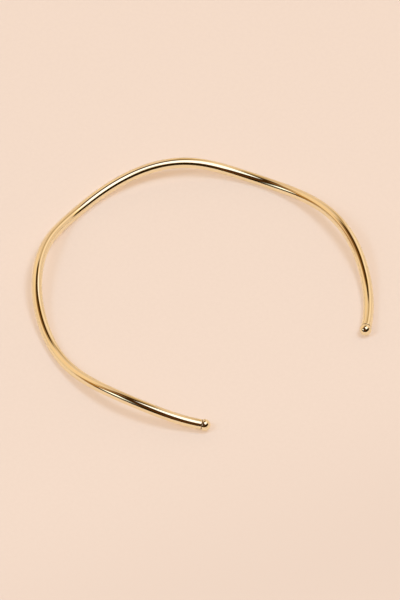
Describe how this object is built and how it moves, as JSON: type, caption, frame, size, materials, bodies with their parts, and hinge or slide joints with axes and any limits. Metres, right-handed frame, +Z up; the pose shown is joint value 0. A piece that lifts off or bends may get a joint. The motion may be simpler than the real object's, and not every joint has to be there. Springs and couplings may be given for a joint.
{
  "type": "open collar necklace",
  "caption": "Rigid open collar of round polished wire, bent into gentle upright waves, with a small ball on each end.",
  "frame": {"origin": "on the flat surface that the collar lies on, under the middle of its box", "axes": "+Z up from the surface, +Y towards the closed back, -Y towards the open side between the balls, +X to the right"},
  "size_m": [0.1246, 0.1168, 0.0089],
  "materials": {
    "polished_wire": "mirror polished gold plate",
    "polished_ball": "mirror polished gold plate"
  },
  "bodies": {
    "root": {"collar_wire": "polished_wire", "ball_end_left": "polished_ball", "ball_end_right": "polished_ball"}
  },
  "joints": []
}
